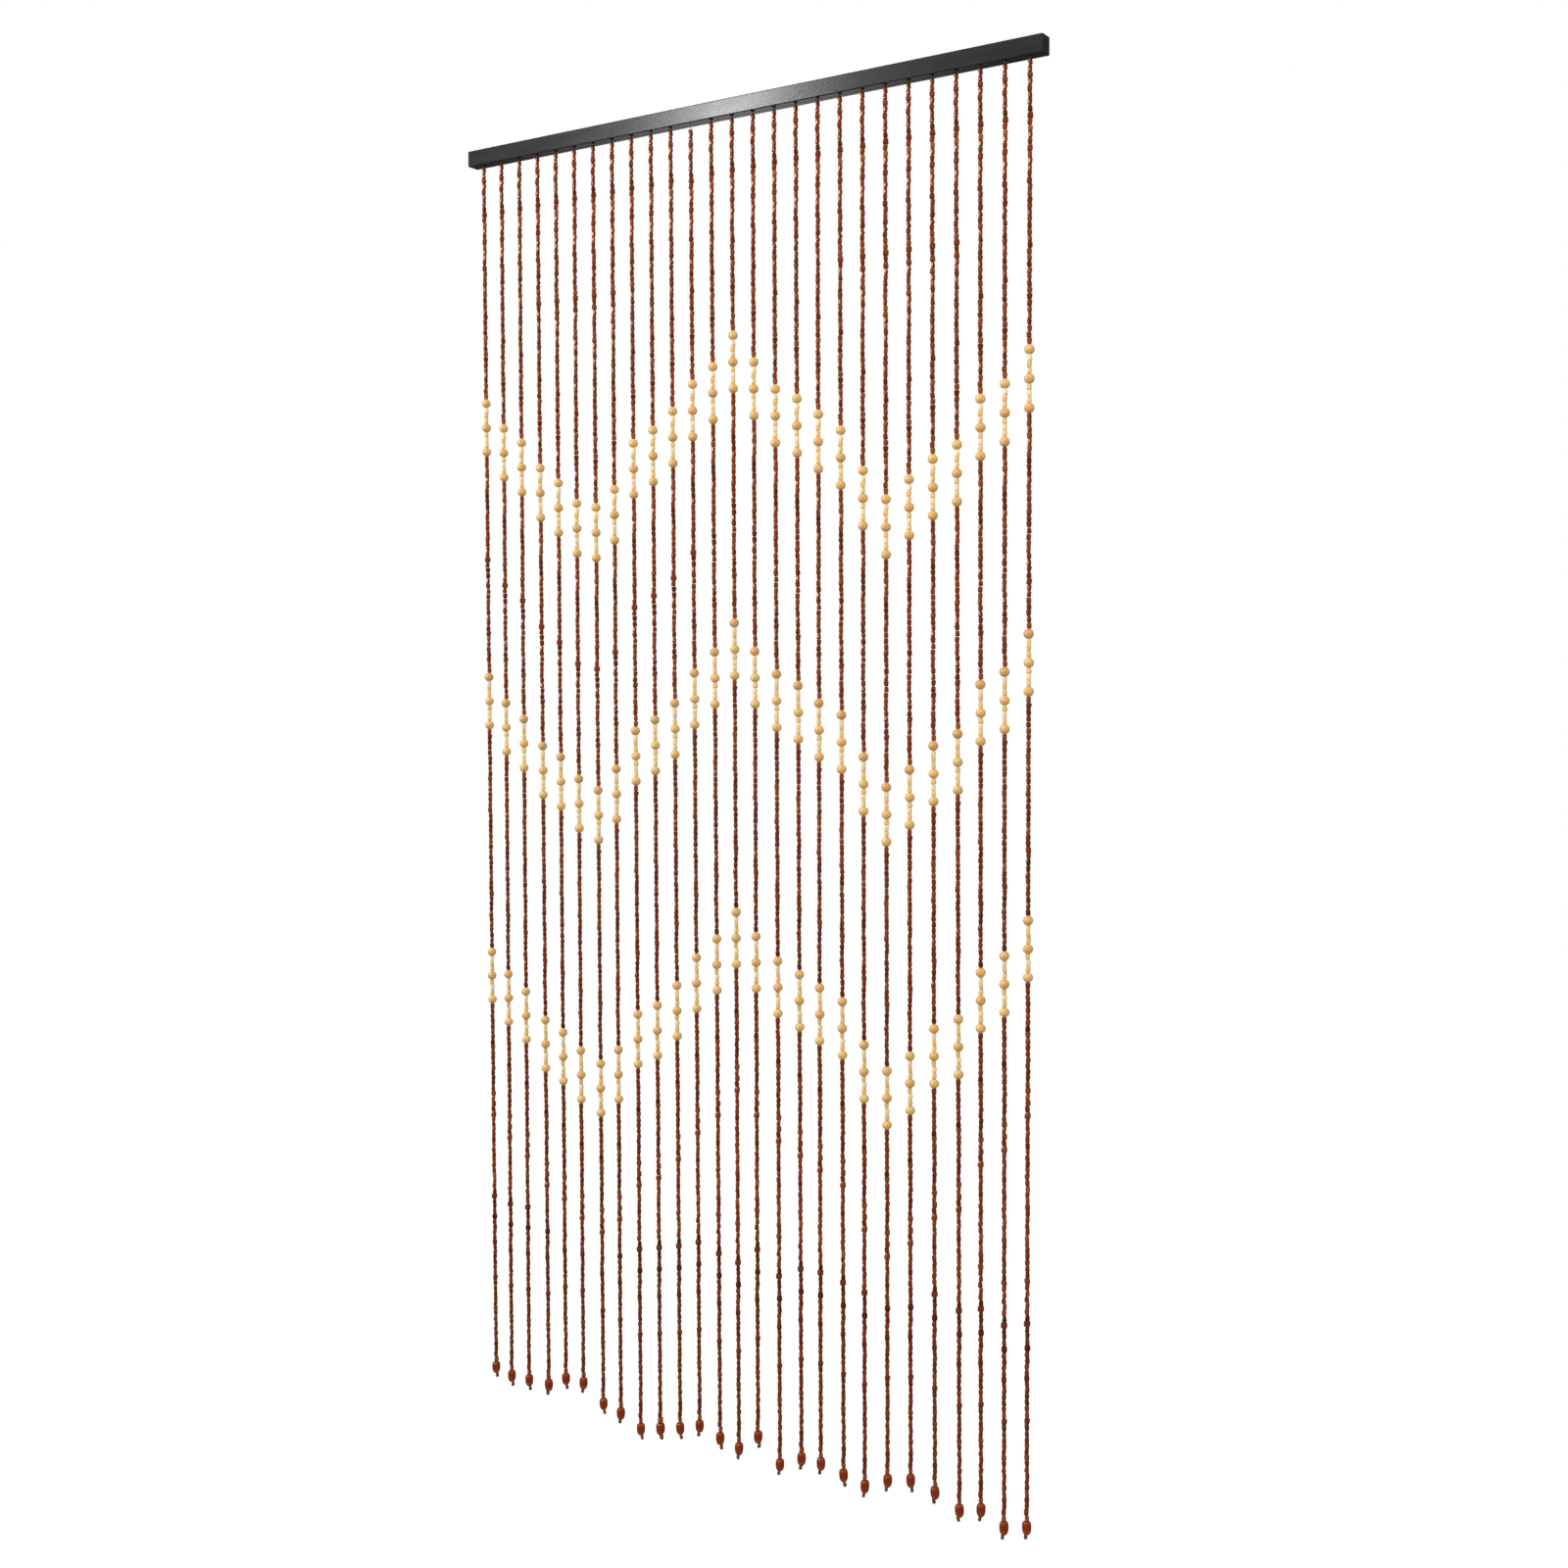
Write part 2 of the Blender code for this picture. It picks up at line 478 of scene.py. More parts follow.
BROWN_WOOD = WoodFinish(
    name="brown_bead_lacquer",
    slot="brown_beads",
    tones=(
        (0.0, (0.094, 0.012, 0.002)),
        (0.40, (0.218, 0.032, 0.003)),
        (0.70, (0.306, 0.056, 0.006)),
        (1.0, (0.385, 0.108, 0.022)),
    ),
    grain_color=(0.075, 0.011, 0.001),
    grain_share=0.45,
    roughness=0.29,
    coat=0.0,
    shine=1.0,
    index=1.70,
    sheen_color=(1.0, 0.66, 0.44),
)
CREAM_WOOD = WoodFinish(
    name="cream_bead_lacquer",
    slot="cream_beads",
    tones=(
        (0.0, (0.560, 0.280, 0.080)),
        (0.40, (0.760, 0.440, 0.140)),
        (0.75, (0.890, 0.610, 0.230)),
        (1.0, (0.970, 0.820, 0.580)),
    ),
    grain_color=(0.520, 0.270, 0.090),
    grain_share=0.18,
    roughness=0.42,
    coat=0.35,
    shine=1.0,
    coat_roughness=0.30,
)
PALE_THREAD = ThreadFinish("pale_thread", "thread", (0.62, 0.53, 0.47), (0.95, 0.87, 0.80), 0.3)
BROWN_THREAD = ThreadFinish("brown_thread", "end_beads", (0.075, 0.020, 0.005), (0.290, 0.090, 0.026))


class Drawn(NamedTuple):
    """A mesh for one shape, standing along Z with its middle at the origin."""

    mesh: bpy.types.Mesh
    along: np.ndarray  # 0 at the top to 1 at the foot, for each point


def drawn_from(bm: bmesh.types.BMesh, name: str, sharp_angle: float) -> Drawn:
    """Closes a bmesh into a shape's mesh, shaded smooth but for its sharp edges."""
    bmesh.ops.recalc_face_normals(bm, faces=bm.faces)
    mesh = bpy.data.meshes.new(name)
    bm.to_mesh(mesh)
    bm.free()
    mesh.shade_smooth()
    mesh.set_sharp_from_angle(angle=sharp_angle)
    heights = np.array([vert.co.z for vert in mesh.vertices])
    low, high = heights.min(), heights.max()
    return Drawn(mesh, (high - heights) / (high - low))


@dataclass(frozen=True)
class TurnedBead:
    """A bead turned on a lathe: half a profile along its length, spun round its hole."""

    name: str
    diameter: float
    length: float
    sides: int
    profile: tuple[tuple[float, float], ...]  # (share of length from the top, share of radius)
    sharp_angle: float = math.radians(55)

    def upended(self) -> "TurnedBead":
        """The same bead the other way up."""
        profile = tuple((1.0 - place, share) for place, share in reversed(self.profile))
        return replace(self, name=f"{self.name}_upended", profile=profile)

    def draw(self) -> Drawn:
        """Spins the profile and closes both ends with a flat."""
        bm = bmesh.new()
        points = [
            bm.verts.new((share * self.diameter / 2, 0.0, (0.5 - place) * self.length))
            for place, share in self.profile
        ]
        edges = [bm.edges.new(pair) for pair in zip(points, points[1:])]
        bmesh.ops.spin(
            bm,
            geom=points + edges,
            cent=(0.0, 0.0, 0.0),
            axis=(0.0, 0.0, 1.0),
            angle=math.tau,
            steps=self.sides,
            use_merge=True,
        )
        rims = [edge for edge in bm.edges if edge.is_boundary]
        bmesh.ops.holes_fill(bm, edges=rims)
        return drawn_from(bm, self.name, self.sharp_angle)


def ball_profile(bands: int, hole_share: float) -> tuple[tuple[float, float], ...]:
    """The profile of a ball cut flat at its hole, as shares of its length and radius."""
    start = math.asin(hole_share)
    angles = [start + (math.pi - 2 * start) * band / bands for band in range(bands + 1)]
    reach = math.cos(start)
    return tuple((0.5 - math.cos(angle) / reach / 2, math.sin(angle)) for angle in angles)


@dataclass(frozen=True)
class StopKnot:
    """A pulled-tight overhand knot in the string's own thread, with a short cut end."""

    name: str = "stop_knot"
    width: float = 0.0053
    height: float = 0.0090
    thread: float = 0.0035
    flatness: float = 0.7
    points: int = 30

    def path(self) -> list[Vector]:
        """The middle line of the thread: a three-lobed knot, closed on itself."""
        reach_x = (self.width - self.thread) / 2
        reach_z = (self.height - self.thread) / 2
        line = []
        for step in range(self.points):
            turn = math.tau * step / self.points
            across = (math.sin(turn) + 2 * math.sin(2 * turn)) / 3
            up = (2 * math.cos(2 * turn) - math.cos(turn)) / 3
            over = -math.sin(3 * turn)
            line.append(Vector((across * reach_x, over * reach_x * self.flatness, up * reach_z)))
        return line

    def draw(self) -> Drawn:
        """Sweeps a round section along the knot's line."""
        curve = bpy.data.curves.new(self.name, "CURVE")
        curve.dimensions = "3D"
        curve.bevel_depth = self.thread / 2
        curve.bevel_resolution = 1
        spline = curve.splines.new("POLY")
        line = self.path()
        spline.points.add(len(line) - 1)
        for point, place in zip(spline.points, line):
            point.co = (*place, 1.0)
        spline.use_cyclic_u = True
        holder = bpy.data.objects.new(self.name, curve)
        bm = bmesh.new()
        bm.from_mesh(holder.to_mesh())
        bmesh.ops.remove_doubles(bm, verts=bm.verts, dist=1e-6)
        holder.to_mesh_clear()
        bpy.data.objects.remove(holder)
        return drawn_from(bm, self.name, math.pi)


@dataclass
class BeadStringing:
    """Where every bead hangs: the sizes that the strands of the frame were built from."""

    underside: float
    spacing: float = 0.033
    root_length: float = 0.004
    top_lift: float = 0.0026  # how far the first bead is drawn up its thread to the batten
    lifted_beads: int = 12  # the beads at the top that share this lift, less and less
    tube_pitch: float = 0.0076
    round_length: float = 0.0120
    round_tones: tuple[tuple[float, ...], ...] = (
        (0.52, 0.36, 0.42),
        (0.28, 0.50, 0.48),
        (0.42, 0.38, 0.54),
    )
    # The 0.92 and 0.91 tones make the first and fifth cream tubes of each band the palest: a painted
    # highlight.
    tube_tones_with_painted_highlight: tuple[tuple[float, ...], ...] = ((0.92, 0.60, 0.72), (0.68, 0.91, 0.70))
    tube_tone_over_band: float = 0.82
    last_tube_tone: float = 0.80
    end_bead_length: float = 0.0175
    knot_length: float = 0.0054
    knot_middle: float = 0.0027
    knot_aside: float = 0.0018
    wave_reach: float = 0.00012
    wave_length: float = 0.085
    wave_step: float = 2.4  # radians of wave from one string to the next
    wave_share_y: float = 0.7  # turns of the wave towards the back for one sideways
    wave_start_y: float = 1.0
    wave_onset: float = 12.0  # the wave is full at one part in this many of the length
    brown_tone_middle: float = 0.42
    brown_tone_spread: float = 0.17
    pale_brown_share: float = 0.06
    pale_brown_gain: float = 0.28
    darkest_brown: float = 0.02
    palest_brown: float = 0.95
    twist_for_metre: float = math.radians(-19.0)
    cream_serial: int = 10
    end_serial: int = 20
    serial_step: int = 10  # from one round bead of a group to the next
    seed: int = 12

    def root_x(self, string: int) -> float:
        """The place of a string's root along the batten."""
        return (string - (len(STRINGS) - 1) / 2) * self.spacing

    def full_depth(self, string: int) -> float:
        """How far under the batten a string's knot ends."""
        row = STRINGS[string]
        tubes = row.above + row.first_gap + row.second_gap + row.below
        tubes += BANDS * sum(len(tones) for tones in self.tube_tones_with_painted_highlight)
        rounds = sum(len(tones) for tones in self.round_tones)
        beads = tubes * self.tube_pitch + rounds * self.round_length
        return self.root_length + row.drop + beads + self.end_bead_length + self.knot_length

    def place(self, string: int, depth: float, aside: float = 0.0) -> Vector:
        """A point of a string: its straight lean with a slight wave in it."""
        share = depth / self.full_depth(string)
        turn = math.tau * depth / self.wave_length + self.wave_step * string
        calm = min(1.0, self.wave_onset * share)
        wave_x = self.wave_reach * math.sin(turn) * calm
        wave_y = self.wave_reach * math.sin(self.wave_share_y * turn + self.wave_start_y) * calm
        x = self.root_x(string) + STRINGS[string].lean * share + wave_x + aside
        return Vector((x, wave_y, self.underside - depth))

    def twist(self, string: int) -> float:
        """How far a string is turned round its own line: a little more to either side."""
        return self.twist_for_metre * self.root_x(string)

    def serial(self, run: int, number: int, count: int) -> Serial:
        """Counts a run's upper half from its top and its lower half from its foot."""
        from_foot = count - 1 - number
        return (2 * run, number) if number < from_foot else (2 * run + 1, from_foot)

    def brown_tone(self, serial: Serial) -> float:
        """The tone of one brown bead: mostly middling, now and then pale."""
        draw = np.random.default_rng((self.seed, *serial))
        tone = draw.normal(self.brown_tone_middle, self.brown_tone_spread)
        if draw.random() < self.pale_brown_share:
            tone += self.pale_brown_gain
        return float(np.clip(tone, self.darkest_brown, self.palest_brown))

    def beads(self, string: int) -> list[Bead]:
        """Threads one string from the top down, then draws its first beads up to the batten.

        Args:
            string: Its number from the left, from 0.

        Returns:
            Its beads in order, each with its depth and tone.
        """
        row = STRINGS[string]
        depth = self.root_length + row.drop
        threaded: list[Bead] = []

        def add(kind: BeadKind, band: int, length: float, tone: float, serial: Serial) -> None:
            """Threads one bead and moves the depth past it."""
            nonlocal depth
            threaded.append(Bead(kind, string, band, depth + length / 2, tone, 0.0, serial))
            depth += length

        def add_brown_run(run: int, count: int) -> None:
            """Threads a run of brown tubes."""
            for number in range(count):
                serial = self.serial(run, number, count)
                add(BeadKind.BROWN_TUBE, -1, self.tube_pitch, self.brown_tone(serial), serial)

        for band, count in enumerate((row.above, row.first_gap, row.second_gap)):
            add_brown_run(band, count)
            if band == 0:
                threaded[-1] = threaded[-1]._replace(tone=self.tube_tone_over_band)
            run = self.cream_serial + band
            for number, tone in enumerate(self.round_tones[band]):
                first = self.serial_step * number
                add(BeadKind.CREAM_ROUND, band, self.round_length, tone, (run, first))
                if number < len(self.tube_tones_with_painted_highlight):
                    for step, tube_tone in enumerate(self.tube_tones_with_painted_highlight[number], start=1):
                        serial = (run, first + step)
                        add(BeadKind.CREAM_TUBE, band, self.tube_pitch, tube_tone, serial)
        add_brown_run(BANDS, row.below - 1)
        end = (self.end_serial, string)
        add(BeadKind.BROWN_TUBE, -1, self.tube_pitch, self.last_tube_tone, end)
        add(BeadKind.END_BEAD, -1, self.end_bead_length, 0.5, end)
        aside = row.knot_side * self.knot_aside
        threaded.append(
            Bead(BeadKind.KNOT, string, -1, depth + self.knot_middle, 0.5, aside, end)
        )
        for number, bead in enumerate(threaded[: self.lifted_beads]):
            lift = self.top_lift * (1.0 - number / self.lifted_beads)
            threaded[number] = bead._replace(depth=bead.depth - lift)
        return threaded


@dataclass(frozen=True)
class Looseness:
    """How far a bead of one kind may sit from true on its thread."""

    tilt: float
    shift: float
    width: float
    length: float

    def matrix(self, place: Vector, twist: float, draw: np.random.Generator) -> Matrix:
        """A bead's own place, turned, tilted, shifted and sized at random, with a few fat ones."""
        tilt_x, tilt_y = draw.normal(0.0, self.tilt, 2)
        turn = twist + draw.uniform(0.0, math.tau)
        shift = Vector((*draw.normal(0.0, self.shift, 2), 0.0))
        width = 1.0 + self.width * (draw.exponential() - 1.0)
        length = 1.0 + draw.normal(0.0, self.length)
        turned = Euler((tilt_x, tilt_y, 0.0)).to_matrix().to_4x4() @ Matrix.Rotation(turn, 4, "Z")
        return Matrix.Translation(place + shift) @ turned @ Matrix.Diagonal((width, width, length, 1.0))


class Piece:
    """One finished object of the curtain, joined from many copies of a few shapes."""

    def __init__(self, name: str) -> None:
        """Starts an empty piece."""
        self.name = name
        self.bm = bmesh.new()
        self.tones: list[np.ndarray] = []
        self.along: list[np.ndarray] = []

    def add(self, shape: Drawn, matrix: Matrix, tone: float) -> None:
        """Adds a copy of a shape, at a place and with a tone."""
        before = len(self.bm.verts)
        self.bm.from_mesh(shape.mesh)
        self.bm.verts.ensure_lookup_table()
        bmesh.ops.transform(self.bm, matrix=matrix, verts=self.bm.verts[before:])
        self.tones.append(np.full(len(shape.along), tone))
        self.along.append(shape.along)

    def finish(self, material: bpy.types.Material, slot: str) -> bpy.types.Object:
        """Makes the object, with its tones, its material and its place in the frame."""
        mesh = bpy.data.meshes.new(self.name)
        self.bm.to_mesh(mesh)
        self.bm.free()
        mesh.materials.append(material)
        for name, values in (("tone", self.tones), ("along", self.along)):
            attribute = mesh.attributes.new(name, "FLOAT", "POINT")
            attribute.data.foreach_set("value", np.concatenate(values).astype(np.float32))
        made = bpy.data.objects.new(self.name, mesh)
        bpy.context.scene.collection.objects.link(made)
        return dress(made)


def dress(made: bpy.types.Object) -> bpy.types.Object:
    """Lets a piece of the strings ride on the body and stand for the frame's strands."""
    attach(made, BODY)
    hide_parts(STRANDS)
    LOG.info("%s: %d faces", made.name, len(made.data.polygons))
    return made


@dataclass
class BeadSheet:
    """All that hangs under the batten."""

    stringing: BeadStringing
    tube: TurnedBead = TurnedBead(
        name="tube_bead",
        diameter=0.0062,
        length=0.0074,
        sides=6,
        profile=(
            (0.0, 0.70),
            (0.05, 0.86),
            (0.15, 0.95),
            (0.50, 1.0),
            (0.85, 0.95),
            (0.95, 0.86),
            (1.0, 0.70),
        ),
        sharp_angle=TUBE_SHARP_ANGLE,
    )
    tapered_tube: TurnedBead = TurnedBead(
        name="tapered_tube_bead",
        diameter=0.0064,
        length=0.0074,
        sides=6,
        profile=(
            (0.0, 0.60),
            (0.06, 0.73),
            (0.20, 0.84),
            (0.72, 1.0),
            (0.87, 0.96),
            (0.95, 0.84),
            (1.0, 0.68),
        ),
        sharp_angle=TUBE_SHARP_ANGLE,
    )
    tapered_share: float = 0.35
    ball: TurnedBead = TurnedBead(
        name="round_bead",
        diameter=0.0130,
        length=0.0120,
        sides=12,
        profile=ball_profile(6, 0.26),
    )
    oval: TurnedBead = TurnedBead(
        name="oval_bead",
        diameter=0.0117,
        length=0.0169,
        sides=24,
        profile=(
            (0.0, 0.46),
            (0.02, 0.64),
            (0.07, 0.82),
            (0.15, 0.94),
            (0.27, 0.99),
            (0.41, 1.0),
            (0.56, 0.99),
            (0.71, 0.94),
            (0.84, 0.82),
            (0.94, 0.63),
            (1.0, 0.42),
        ),
    )
    root: TurnedBead = TurnedBead(
        name="thread_root",
        diameter=0.0022,
        length=0.0043,
        sides=10,
        profile=(
            (0.0, 0.42),
            (0.46, 0.42),
            (0.55, 0.84),
            (0.72, 1.0),
            (0.90, 0.88),
            (1.0, 0.60),
        ),
        sharp_angle=math.pi,
    )
    knot: StopKnot = field(default_factory=StopKnot)
    thread_diameter: float = 0.0009
    looseness: dict[BeadKind, Looseness] = field(
        default_factory=lambda: {
            BeadKind.BROWN_TUBE: Looseness(math.radians(3.8), 0.00023, 0.08, 0.03),
            BeadKind.CREAM_TUBE: Looseness(math.radians(3.0), 0.00020, 0.05, 0.03),
            BeadKind.CREAM_ROUND: Looseness(math.radians(3.0), 0.00010, 0.015, 0.01),
            BeadKind.END_BEAD: Looseness(math.radians(1.5), 0.0, 0.012, 0.01),
            BeadKind.KNOT: Looseness(math.radians(9.0), 0.0001, 0.05, 0.03),
        }
    )

    def tube_shapes(self) -> list[Drawn]:
        """The tube bead, and the tapered one with its wide end down and then up."""
        return [self.tube.draw(), self.tapered_tube.draw(), self.tapered_tube.upended().draw()]

    def thread_on(self, name: str, shapes: list[Drawn], beads: Iterable[Bead]) -> Piece:
        """Joins copies of the shapes at the places of these beads.

        Args:
            name: The piece's name.
            shapes: The common shape, and any others that share the rest evenly.
            beads: The beads of the piece.

        Returns:
            The piece, not finished yet.
        """
        piece = Piece(name)
        rarer = shapes[1:]
        for bead in beads:
            draw = np.random.default_rng((self.stringing.seed + 1, *bead.serial))
            place = self.stringing.place(bead.string, bead.depth, bead.aside)
            twist = self.stringing.twist(bead.string)
            matrix = self.looseness[bead.kind].matrix(place, twist, draw)
            is_rare = bool(rarer) and draw.random() < self.tapered_share
            shape = rarer[draw.integers(len(rarer))] if is_rare else shapes[0]
            piece.add(shape, matrix, bead.tone)
        return piece

    def build_brown_tubes(self, beads: list[Bead]) -> None:
        """The brown tube beads, one piece for each string."""
        shapes = self.tube_shapes()
        material = BROWN_WOOD.material()
        for string in range(len(STRINGS)):
            chosen = [b for b in beads if b.kind is BeadKind.BROWN_TUBE and b.string == string]
            name = f"brown_beads_string_{string + 1:02d}"
            self.thread_on(name, shapes, chosen).finish(material, BROWN_WOOD.slot)

    def build_cream_bands(self, beads: list[Bead]) -> None:
        """The cream round and tube beads, two pieces for each zigzag band."""
        material = CREAM_WOOD.material()
        shapes = {
            BeadKind.CREAM_ROUND: [self.ball.draw()],
            BeadKind.CREAM_TUBE: self.tube_shapes(),
        }
        for band in range(BANDS):
            for kind, drawn in shapes.items():
                chosen = [b for b in beads if b.kind is kind and b.band == band]
                name = f"{kind.value}_beads_band_{band + 1}"
                self.thread_on(name, drawn, chosen).finish(material, CREAM_WOOD.slot)

    def build_feet(self, beads: list[Bead]) -> None:
        """The oval end beads and the knots that hold them on."""
        ends = [b for b in beads if b.kind is BeadKind.END_BEAD]
        finish = EndBeadFinish()
        piece = self.thread_on("end_beads", [self.oval.draw()], ends)
        piece.finish(finish.material(), finish.slot)
        knots = [b for b in beads if b.kind is BeadKind.KNOT]
        piece = self.thread_on("stop_knots", [self.knot.draw()], knots)
        piece.finish(BROWN_THREAD.material(), BROWN_THREAD.slot)

    def build_threads(self) -> None:
        """The thread through each string, and the thicker stub where it leaves the batten."""
        material = PALE_THREAD.material()
        stubs = Piece("thread_roots")
        stub = self.root.draw()
        bm = bmesh.new()
        for string, row in enumerate(STRINGS):
            length = self.stringing.root_length + row.drop - self.stringing.top_lift
            middle = self.stringing.place(string, length / 2)
            stretch = length / self.stringing.root_length
            matrix = Matrix.Translation(middle) @ Matrix.Diagonal((1.0, 1.0, stretch, 1.0))
            stubs.add(stub, matrix, 0.5)
            self._add_thread(bm, string)
        stubs.finish(material, PALE_THREAD.slot)
        mesh = bpy.data.meshes.new("threads")
        bm.to_mesh(mesh)
        bm.free()
        mesh.shade_smooth()
        mesh.materials.append(material)
        threads = bpy.data.objects.new("threads", mesh)
        bpy.context.scene.collection.objects.link(threads)
        dress(threads)

    def _add_thread(self, bm: bmesh.types.BMesh, string: int) -> None:
        """Adds one straight length of thread from the batten to the knot."""
        stringing = self.stringing
        top = stringing.place(string, 0.0)
        foot_depth = stringing.full_depth(string) - stringing.knot_length / 2
        foot = stringing.place(string, foot_depth)
        along = foot - top
        turn = Vector((0.0, 0.0, 1.0)).rotation_difference(along).to_matrix().to_4x4()
        bmesh.ops.create_cone(
            bm,
            cap_ends=True,
            segments=6,
            radius1=self.thread_diameter / 2,
            radius2=self.thread_diameter / 2,
            depth=along.length,
            matrix=Matrix.Translation((top + foot) / 2) @ turn,
        )

    def build(self) -> None:
        """Builds every piece of the sheet."""
        beads = [bead for string in range(len(STRINGS)) for bead in self.stringing.beads(string)]
        LOG.info("%d beads on %d strings", len(beads), len(STRINGS))
        self.build_brown_tubes(beads)
        self.build_cream_bands(beads)
        self.build_feet(beads)
        self.build_threads()


@dataclass
class Batten:
    """The black bar and the slim strip in the slot under it."""

    strip_width: float = 0.0024
    strip_height: float = 0.003
    strip_edge: float = 0.0003
    strip_overhang: float = 0.006

    def build_strip(self, stringing: BeadStringing, material: bpy.types.Material) -> None:
        """The strip that carries the threads, flush with the batten's underside."""
        span = 2 * (stringing.root_x(len(STRINGS) - 1) + self.strip_overhang)
        bm = bmesh.new()
        bmesh.ops.create_cube(bm, size=1.0)
        bmesh.ops.scale(bm, vec=(span, self.strip_width, self.strip_height), verts=bm.verts)
        middle = stringing.underside + self.strip_height / 2
        bmesh.ops.translate(bm, vec=(0.0, 0.0, middle), verts=bm.verts)
        bmesh.ops.bevel(
            bm,
            geom=bm.edges[:],
            offset=self.strip_edge,
            offset_type="OFFSET",
            segments=2,
            profile=0.5,
            affect="EDGES",
            material=-1,
        )
        mesh = bpy.data.meshes.new("slot_strip")
        bm.to_mesh(mesh)
        bm.free()
        mesh.materials.append(material)
        strip = bpy.data.objects.new("slot_strip", mesh)
        bpy.context.scene.collection.objects.link(strip)
        dress(strip)

    def build(self, stringing: BeadStringing) -> None:
        """Lacquers the bar and fits its strip."""
        finish = BlackLacquer()
        material = finish.material()
        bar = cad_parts[RAIL]
        bar.data.materials.clear()
        bar.data.materials.append(material)
        LOG.info("%s: lacquered", bar.name)
        self.build_strip(stringing, material)


@dataclass
class Camera:
    """A pinhole camera at the photograph's place, in front of the curtain's right half."""

    place: Vector = field(default_factory=lambda: Vector((1.4207, -2.0979, -0.7757)))
    turn: float = math.radians(32.631)
    tip: float = math.radians(-2.760)
    roll: float = math.radians(-0.222)
    lens: float = 43.68
    sensor: float = 36.0

    def build(self) -> None:
        """Makes the scene's camera."""
        data = bpy.data.cameras.new("camera")
        data.lens = self.lens
        data.sensor_width = self.sensor
        camera = bpy.data.objects.new("camera", data)
        camera.location = self.place
        camera.rotation_mode = "QUATERNION"
        aim = Matrix.Rotation(self.turn, 3, "Z") @ Matrix.Rotation(math.pi / 2 + self.tip, 3, "X")
        camera.rotation_quaternion = (aim @ Matrix.Rotation(self.roll, 3, "Z")).to_quaternion()
        bpy.context.scene.collection.objects.link(camera)
        bpy.context.scene.camera = camera


@dataclass(frozen=True)
class Softbox:
    """A rectangular lamp that faces a point."""

    name: str
    place: tuple[float, float, float]
    target: tuple[float, float, float]
    width: float
    height: float
    power: float
    shows_in_gloss: bool = True

    def build(self) -> None:
        """Makes the lamp and turns it to its target."""
        data = bpy.data.lights.new(self.name, "AREA")
        data.shape = "RECTANGLE"
        data.size = self.width
        data.size_y = self.height
        data.energy = self.power
        lamp = bpy.data.objects.new(self.name, data)
        lamp.visible_camera = False
        lamp.visible_glossy = self.shows_in_gloss
        lamp.location = self.place
        aim = Vector(self.target) - Vector(self.place)
        lamp.rotation_mode = "QUATERNION"
        lamp.rotation_quaternion = aim.to_track_quat("-Z", "Y")
        bpy.context.scene.collection.objects.link(lamp)


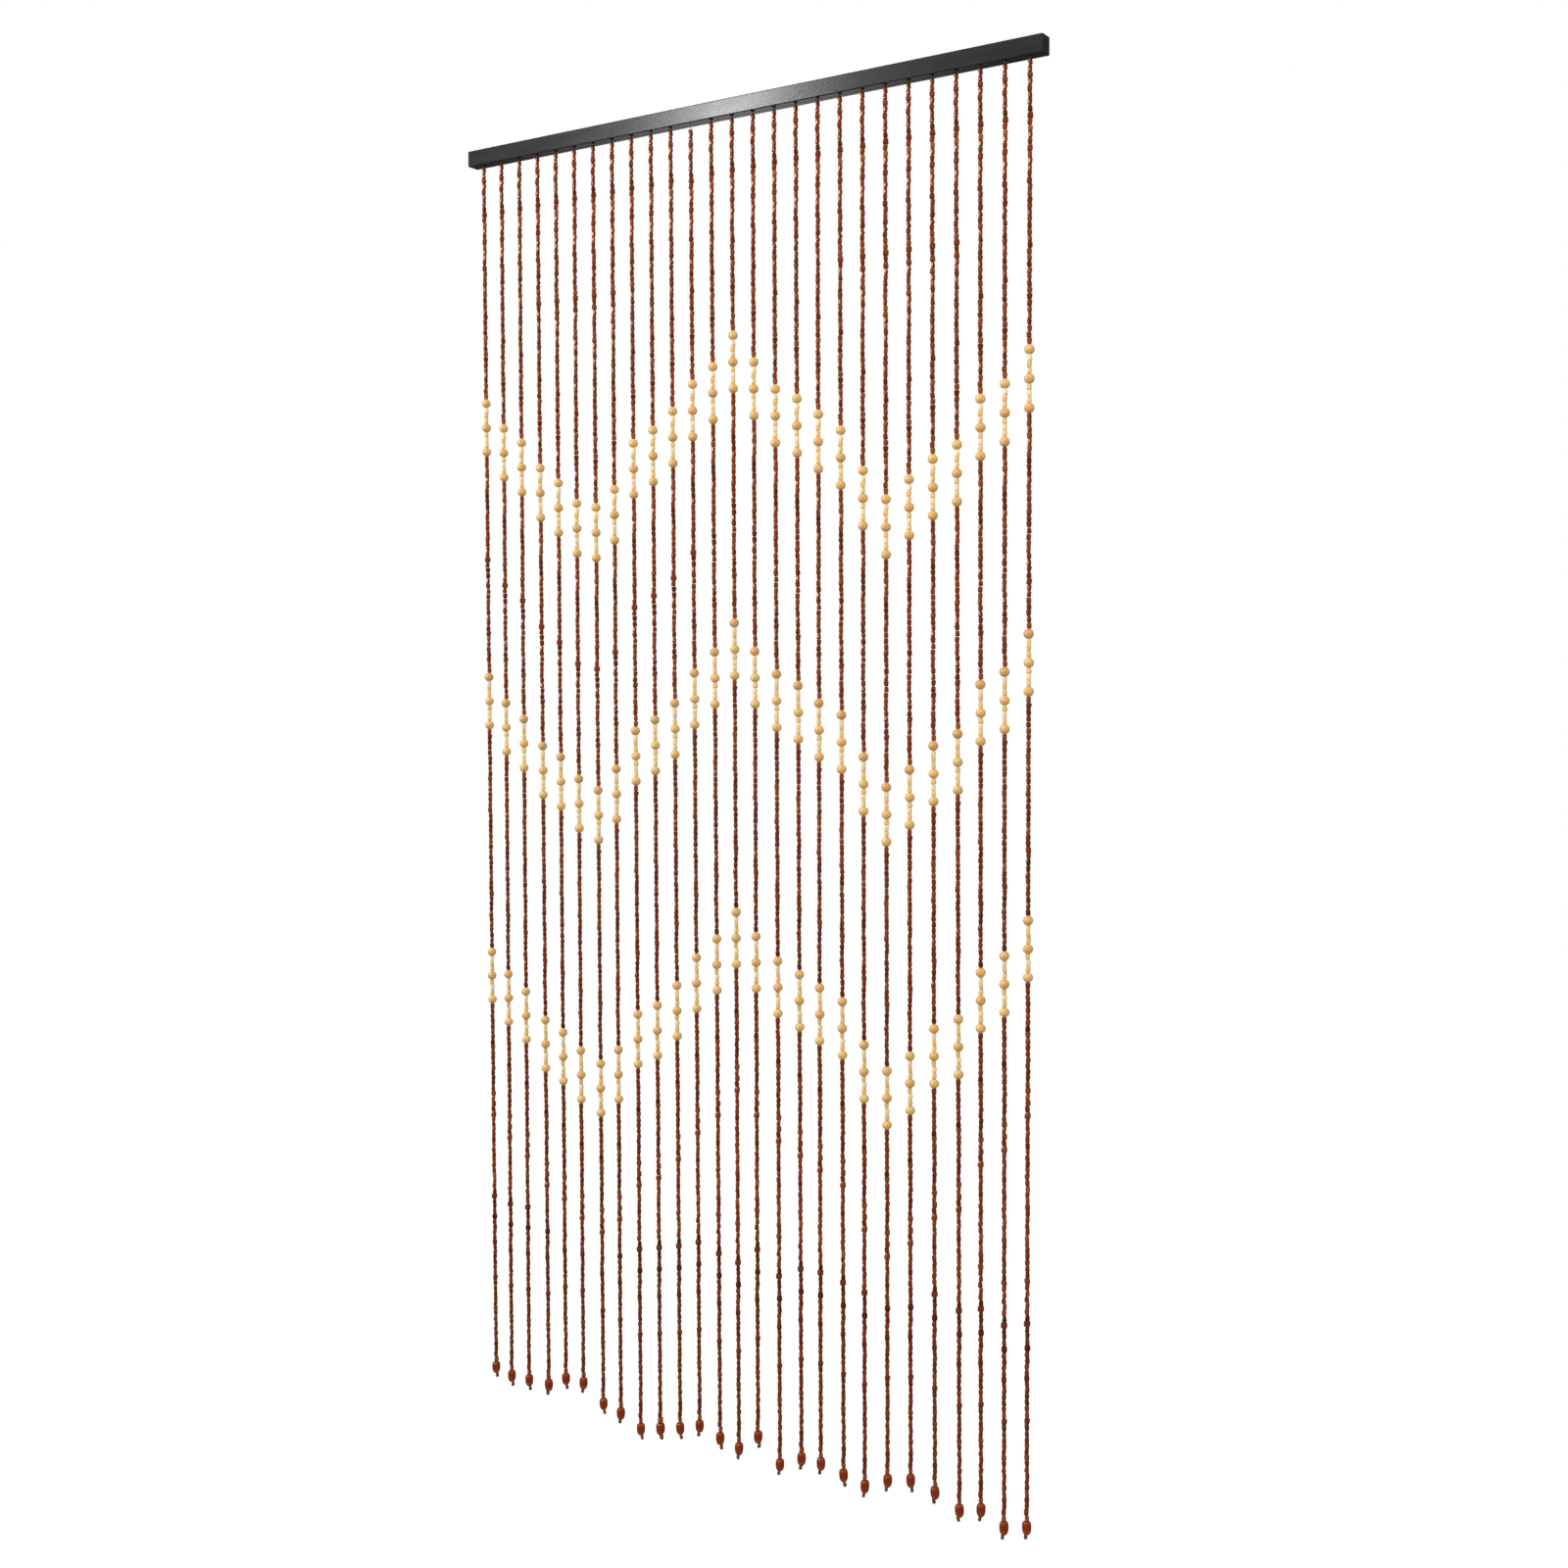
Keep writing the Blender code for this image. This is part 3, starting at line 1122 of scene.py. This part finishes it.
@dataclass
class Studio:
    """A white sweep with soft lamps: the picture's plain ground and light."""

    floor_drop: float = 0.12
    floor_reach: float = 6.0
    floor_color: Color = (0.12, 0.12, 0.12)
    floor_glow: float = 0.94
    floor_roughness: float = 0.9
    ground: Color = (1.0, 1.0, 1.0)
    surround: Color = (1.0, 0.99, 0.97)
    bright_side: tuple[float, float, float] = (-0.80, 0.05, 0.60)
    surround_levels: tuple[tuple[float, Color], ...] = (
        (0.05, (0.18,) * 3),
        (0.45, (0.23,) * 3),
        (0.75, (0.27,) * 3),
        (1.0, (0.80,) * 3),
    )
    surround_gain: float = 2.05
    gloss_level: float = 0.03  # what shiny surfaces see of the surround, apart from the card
    card_side: tuple[float, float, float] = (-0.531, 0.797, -0.286)
    card_reach: float = math.radians(12.0)
    card_level: float = 1.30
    card_softness: float = 6.0
    lamps: tuple[Softbox, ...] = (
        Softbox("key", (-1.37, -2.05, 0.27), (0.0, 0.0, 0.0), 0.14, 1.4, 20.6),
        Softbox("fill", (1.9, -1.5, 1.2), (0.0, 0.0, -0.3), 1.6, 1.2, 46.0, False),
        Softbox("side", (-2.3, -1.55, 0.6), (0.0, 0.0, -0.6), 1.0, 1.4, 34.0, False),
        Softbox("foot", (2.0, -0.7, -1.9), (0.0, 0.0, -1.7), 0.6, 0.6, 9.0, False),
        Softbox("back", (0.0, 2.2, 1.8), (0.0, 0.0, -0.7), 1.5, 1.0, 14.0, False),
    )

    def build_world(self) -> None:
        """White where the camera looks past the curtain, and a dimmer surround for the light."""
        world = bpy.data.worlds.new("studio")
        bpy.context.scene.world = world
        world.use_nodes = True
        world.node_tree.nodes.clear()
        graph = Graph(world.node_tree)
        around = self.background(graph, self.surround, self.surround_strength(graph))
        seen = self.background(graph, self.ground, 1.0)
        from_camera = graph.node("ShaderNodeLightPath", out="Is Camera Ray")
        mixed = graph.node("ShaderNodeMixShader", sockets={0: from_camera, 1: around, 2: seen})
        output = graph.tree.nodes.new("ShaderNodeOutputWorld")
        graph.tree.links.new(mixed.socket, output.inputs["Surface"])

    def background(self, graph: Graph, color: Color, strength: Wire | float) -> Wire:
        """A background shader of one colour."""
        sockets = {"Color": (*color, 1.0), "Strength": strength}
        return graph.node("ShaderNodeBackground", sockets=sockets)

    def toward(self, graph: Graph, side: tuple[float, float, float]) -> Wire:
        """How nearly a direction of the surround is the one given: its cosine with it."""
        place = graph.node("ShaderNodeTexCoord", out="Generated")
        return graph.node(
            "ShaderNodeVectorMath",
            {"operation": "DOT_PRODUCT"},
            {0: place, 1: side},
            out="Value",
        )

    def surround_strength(self, graph: Graph) -> Wire:
        """How bright the surround is.

        It is brightest high on the left. Shiny surfaces see it even and dim, with one soft card
        in it, low behind the curtain, that the batten's underside mirrors.
        """
        share = self.toward(graph, self.bright_side) * 0.5 + 0.5
        level = graph.ramp(share, self.surround_levels) * self.surround_gain
        near = self.toward(graph, self.card_side)
        inside = graph.map_range(near, math.cos(self.card_reach), 1.0)
        card = inside**self.card_softness * self.card_level
        in_gloss = graph.node("ShaderNodeLightPath", out="Is Glossy Ray")
        return level + in_gloss * (card + self.gloss_level - level)

    def build_floor(self) -> None:
        """A plain pale floor a little below the knots."""
        bm = bmesh.new()
        bmesh.ops.create_grid(bm, x_segments=1, y_segments=1, size=self.floor_reach)
        height = CAD_BOX[0].z - self.floor_drop
        bmesh.ops.translate(bm, vec=(0.0, 0.0, height), verts=bm.verts)
        mesh = bpy.data.meshes.new("floor")
        bm.to_mesh(mesh)
        bm.free()
        graph = Finish("pale_floor")
        mesh.materials.append(
            graph.surface(
                Base_Color=(*self.floor_color, 1.0),
                Roughness=self.floor_roughness,
                Emission_Color=(*self.ground, 1.0),
                Emission_Strength=self.floor_glow,
            )
        )
        floor = bpy.data.objects.new("floor", mesh)
        floor.visible_diffuse = False
        floor.visible_glossy = False
        bpy.context.scene.collection.objects.link(floor)

    def build(self) -> None:
        """Sets up the ground, the surround and the lamps."""
        self.build_world()
        self.build_floor()
        for lamp in self.lamps:
            lamp.build()
        bpy.context.scene.view_settings.view_transform = "Standard"


def main() -> None:
    """Builds the curtain, its studio and its camera."""
    logging.basicConfig(level=logging.INFO, format="%(message)s")
    stringing = BeadStringing(underside=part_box(RAIL)[0].z)
    Camera().build()
    Studio().build()
    Batten().build(stringing)
    BeadSheet(stringing).build()


if __name__ == "__main__":
    main()
